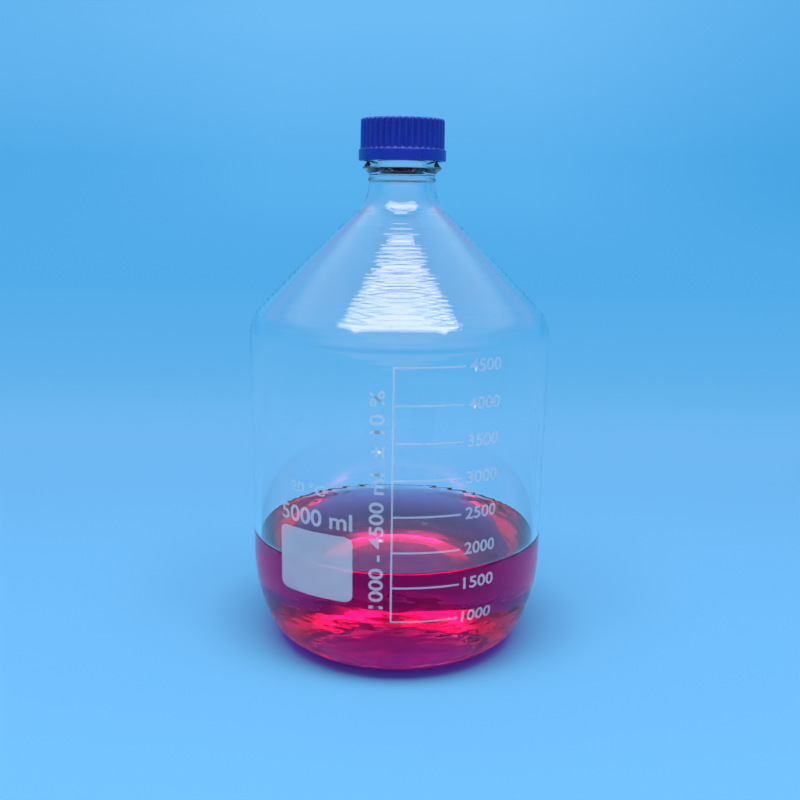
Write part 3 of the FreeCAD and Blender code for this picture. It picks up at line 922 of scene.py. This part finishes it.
def make_scale():
    """Upright line, eight marks and their numbers."""
    step = (SCALE_TOP - SCALE_BOTTOM) / (SCALE_MARKS - 1)
    half = LINE_WIDTH / 2
    items = [print_grid("upright", -half, half, SCALE_BOTTOM - half, SCALE_TOP + half, SCALE_AZIMUTH)]
    numbers = []
    for mark in range(SCALE_MARKS):
        up = SCALE_BOTTOM + mark * step
        items.append(print_grid("mark", half, TICK_LENGTH, up - half, up + half, SCALE_AZIMUTH))
        words = str(1000 + 500 * mark)
        numbers.append(print_text("number", words, 7.0, 20.5, 0, up - 3.0, NUMBER_AZIMUTH))
    return join_print("scale_print", items), join_print("scale_numbers", numbers)


scale_print, scale_numbers = make_scale()
field = print_grid("writing_field_print", -25.3, 24.7, 52.2, 90.8, FIELD_AZIMUTH, corner=4.5)
capacity = print_text("capacity_print", "5000 ml", 9.8, 48.5, -24.0, 94.6, FIELD_AZIMUTH)
reference = print_text("reference_print", "20 °C", 6.0, 24.0, -2.0, 112.5, -40.0)
remark = print_text(
    "remark_print", "1000 - 4500 ml  ± 10 %", 8.1, 124, 0.2, 50.0, -4.9, upright=True)
for item, node in ((scale_print, "scale_lines"), (field, "writing_field")):
    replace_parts(item, node)
for item in (scale_print, scale_numbers, field, capacity, reference, remark):
    item.data.materials.append(ENAMEL)
    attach(item, "bottle")


# Floor and backdrop
FLOOR_BLUE = (0.170, 0.545, 0.995)
# Colour of the paper's glow far behind, by distance along it: lighter and darker bands of painted light
# and shade.
SKY_STOPS = (
    (0.0, (0.165, 0.505, 0.935)),
    (0.114, (0.162, 0.497, 0.922)),
    (0.17, (0.130, 0.466, 0.870)),
    (0.227, (0.110, 0.447, 0.850)),
    (0.545, (0.084, 0.420, 0.830)),
    (0.834, (0.084, 0.418, 0.831)),
    (0.909, (0.105, 0.445, 0.860)),
    (1.0, (0.130, 0.480, 0.900)),
)
# Length of the paper that SKY_STOPS cover, and width of the wall that BACK_STOPS cover, in metres.
SKY_REACH = 4.4
BACK_REACH = 3.4
# Painted light and shade on the wall, from left to right: how much of its lighter tint, rather than its
# darker one, it has.
BACK_STOPS = (
    (0.0, 0.40), (0.15, 0.50), (0.27, 0.66), (0.36, 0.80), (0.5, 0.78),
    (0.64, 0.80), (0.75, 0.60), (0.86, 0.36), (1.0, 0.10),
)
# Darker and lighter tints of the wall's glow, for its painted shade and painted light.
BACK_PAINTED_SHADE = (0.66, 0.85, 0.90)
BACK_PAINTED_LIGHT = (1.34, 1.10, 1.06)
SKY_LOW = (0.090, 0.425, 0.835)
SKY_HIGH = (0.130, 0.480, 0.900)
FLOOR_DROP = 0.3
SWEEP_BACK = 2400.0
SWEEP_RADIUS = 1000.0
SWEEP_HEIGHT = 1060.0
SWEEP_HALF = 3600.0
SWEEP_FRONT = -1150.0


def sky_material():
    """Sky-blue paper: lit by the lamp near the object; far behind, a glow of its own with painted light
    and shade.
    """
    material, tree, out = new_material("sky_blue_paper")
    axes = place_axes(tree)
    along = add_math(tree, "ADD", axes["Y"], axes["Z"])
    # Soft noise patches that shift the bands: painted uneven light.
    light_patches = add_range(tree, add_noise(tree, 0.55, 1.0, (0.6, 1, 2.6)), -0.35, 0.35)
    shift = add_math(tree, "MULTIPLY", light_patches, add_math(tree, "MULTIPLY", along, 0.22))
    reach = add_math(tree, "MULTIPLY", add_math(tree, "ADD", along, shift), 1 / SKY_REACH)
    sky = add_stops(tree, reach, SKY_STOPS)
    lit = add_node(tree, "ShaderNodeBsdfPrincipled", Roughness=0.85)
    lit.inputs["Specular IOR Level"].default_value = 0.2
    lit.inputs["Base Color"].default_value = (*FLOOR_BLUE, 1)
    tree.links.new(add_bump(tree, add_noise(tree, 900.0, 3.0), 0.05, 0.0002), lit.inputs["Normal"])
    across = add_math(tree, "ADD", add_math(tree, "MULTIPLY", axes["X"], 1 / BACK_REACH), 0.5)
    sides = add_stops(tree, across, [(stop, (level,) * 3) for stop, level in BACK_STOPS])
    shades = []
    for tint in (BACK_PAINTED_SHADE, BACK_PAINTED_LIGHT):
        tinted = tree.nodes.new("ShaderNodeVectorMath")
        tinted.operation = "MULTIPLY"
        tree.links.new(sky, tinted.inputs[0])
        tinted.inputs[1].default_value = tint
        shades.append(tinted.outputs["Vector"])
    # Painted light and shade from left to right, growing up the wall.
    wall = add_smooth(tree, axes["Z"], 0.0, 0.35)
    away = add_math(tree, "MULTIPLY", add_math(tree, "SUBTRACT", sides, 0.5), wall)
    glow = add_node(tree, "ShaderNodeEmission", Strength=1.0)
    patch = mix_colours(tree, add_math(tree, "ADD", away, 0.5), *shades)
    tree.links.new(patch, glow.inputs["Color"])
    back = add_smooth(tree, axes["Y"], 0.15, 0.60)
    around = add_smooth(tree, object_radius(tree)[0], 0.55, 1.10)
    path = tree.nodes.new("ShaderNodeLightPath")
    seen = add_math(tree, "MAXIMUM", path.outputs["Is Camera Ray"], path.outputs["Is Glossy Ray"])
    seen = add_math(tree, "MAXIMUM", seen, path.outputs["Is Transmission Ray"])
    share = add_math(tree, "MULTIPLY", seen, add_math(tree, "MAXIMUM", back, around))
    mixed = mix_shaders(tree, share, lit.outputs["BSDF"], glow.outputs["Emission"])
    tree.links.new(mixed, out.inputs["Surface"])
    return material


def make_sweep():
    """One sheet of paper: a floor that curves up into a wall behind the object."""
    wall = SWEEP_BACK + SWEEP_RADIUS
    section = joined(
        run((SWEEP_FRONT, -FLOOR_DROP), (SWEEP_BACK, -FLOOR_DROP), 100),
        arc((SWEEP_BACK, SWEEP_RADIUS - FLOOR_DROP), SWEEP_RADIUS, -math.pi / 2, 0, 20),
        run((wall, SWEEP_RADIUS), (wall, SWEEP_HEIGHT), 100),
    )
    verts = []
    for across in (-SWEEP_HALF, SWEEP_HALF):
        verts += [(across, y, z) for y, z in section]
    count = len(section)
    faces = [(i, i + 1, count + i + 1, count + i)[::-1] for i in range(count - 1)]
    sweep = new_object("paper_sweep", verts, faces)
    sweep.data.materials.append(sky_material())


make_sweep()


# Light
LAMP_HEIGHT = 2.6
LAMP_WIDTH = 2.9
LAMP_FRONT = -1.36
LAMP_SEAM = (-0.281, -0.221)
LAMP_BACK = -0.065
LAMP_RADIANCE = 6.8
LAMP_COLOUR = (1.0, 0.98, 0.965)


def softbox(name, start, end):
    """A lamp that faces down between two depths, and whose face shows LAMP_RADIANCE."""
    data = bpy.data.lights.new(name, "AREA")
    data.shape = "RECTANGLE"
    data.size = LAMP_WIDTH
    data.size_y = end - start
    data.color = LAMP_COLOUR
    data.energy = LAMP_RADIANCE * math.pi * LAMP_WIDTH * (end - start)
    lamp = bpy.data.objects.new(name, data)
    bpy.context.scene.collection.objects.link(lamp)
    lamp.location = (0, (start + end) / 2, LAMP_HEIGHT)
    lamp.rotation_euler = Vector((0, 0, -1)).to_track_quat("-Z", "Y").to_euler()


softbox("softbox_front", LAMP_FRONT, LAMP_SEAM[0])
softbox("softbox_back", LAMP_SEAM[1], LAMP_BACK)

STUDIO_BLUE = (0.22, 0.36, 0.70)
FILL = (0.145, 0.175, 0.22)
WALL_STOPS = ((0.25, SKY_LOW), (0.33, STUDIO_BLUE), (0.50, STUDIO_BLUE), (0.66, (0.85, 0.92, 1.0)))
# These two go from straight down at 0 over the horizon at 0.5 to straight up at 1.
PAPER_STOPS = (
    (0.36, (0.165, 0.505, 0.935)), (0.48, (0.150, 0.485, 0.910)), (0.5, SKY_LOW), (0.65, SKY_HIGH),
)
FRONT_STOPS = (
    (0.46, (0.85, 0.88, 0.95)), (0.485, (0.03, 0.08, 0.22)),
    (0.55, (0.03, 0.08, 0.22)), (0.62, (0.90, 0.93, 1.0)),
)


def make_world():
    """A blue studio: a dim fill, white walls above the paper, and blue paper all round below."""
    world = bpy.data.worlds.new("studio")
    world.use_nodes = True
    bpy.context.scene.world = world
    tree = world.node_tree
    tree.nodes.clear()
    out = tree.nodes.new("ShaderNodeOutputWorld")
    axes = place_axes(tree, "Generated")
    walls = add_stops(tree, axes["Z"], WALL_STOPS)
    level = add_math(tree, "ADD", add_math(tree, "MULTIPLY", axes["Z"], 0.5), 0.5)
    before = add_smooth(tree, axes["Y"], -0.1, -0.75)
    room = mix_colours(tree, before, walls, add_stops(tree, level, FRONT_STOPS))
    paper = add_stops(tree, level, PAPER_STOPS)
    path = tree.nodes.new("ShaderNodeLightPath")
    clear = add_math(tree, "MAXIMUM", path.outputs["Is Glossy Ray"], path.outputs["Is Transmission Ray"])
    direct = add_math(tree, "LESS_THAN", path.outputs["Diffuse Depth"], 0.5)
    fill = add_node(tree, "ShaderNodeBackground", Color=(*FILL, 1), Strength=1.0)
    mixed = fill.outputs["Background"]
    seen = add_math(tree, "MULTIPLY", clear, direct)
    for share, colour in ((seen, room), (path.outputs["Is Camera Ray"], paper)):
        light = add_node(tree, "ShaderNodeBackground", Strength=1.0)
        tree.links.new(colour, light.inputs["Color"])
        mixed = mix_shaders(tree, share, mixed, light.outputs["Background"])
    tree.links.new(mixed, out.inputs["Surface"])


make_world()

bpy.context.scene.view_settings.view_transform = "Standard"

# Light bounces through four glass faces and the liquid. Caustics are off, because lamp light passes
# the clear materials already, and would be counted twice.
cycles = bpy.context.scene.cycles
cycles.max_bounces = 24
cycles.transmission_bounces = 24
cycles.glossy_bounces = 8
cycles.transparent_max_bounces = 16
cycles.caustics_refractive = False
cycles.caustics_reflective = False


# Camera
CAMERA_BACK = 592.82
CAMERA_UP = 273.36
PITCH = math.radians(14.069)
YAW = math.radians(0.112)
ROLL = math.radians(0.880)
FOCAL_PIXELS = 972.85
FRAME_PIXELS = 800
AXIS_PIXEL_DOWN = 440.145


def make_camera():
    """The camera that the photo's outline, scale and liquid surface give."""
    ahead = math.cos(PITCH)
    forward = Vector((math.sin(YAW) * ahead, math.cos(YAW) * ahead, -math.sin(PITCH)))
    level = Vector((math.cos(YAW), -math.sin(YAW), 0))
    upward = level.cross(forward)
    right = level * math.cos(ROLL) + upward * math.sin(ROLL)
    up = upward * math.cos(ROLL) - level * math.sin(ROLL)
    data = bpy.data.cameras.new("camera")
    data.sensor_width = 36
    data.lens = 36 * FOCAL_PIXELS / FRAME_PIXELS
    data.shift_y = (AXIS_PIXEL_DOWN - FRAME_PIXELS / 2) / FRAME_PIXELS
    data.clip_start = 0.01
    camera = bpy.data.objects.new("camera", data)
    bpy.context.scene.collection.objects.link(camera)
    turn = Matrix((right, up, -forward)).transposed()
    camera.matrix_world = Matrix.Translation((0, -CAMERA_BACK * MM, CAMERA_UP * MM)) @ turn.to_4x4()
    bpy.context.scene.camera = camera


make_camera()
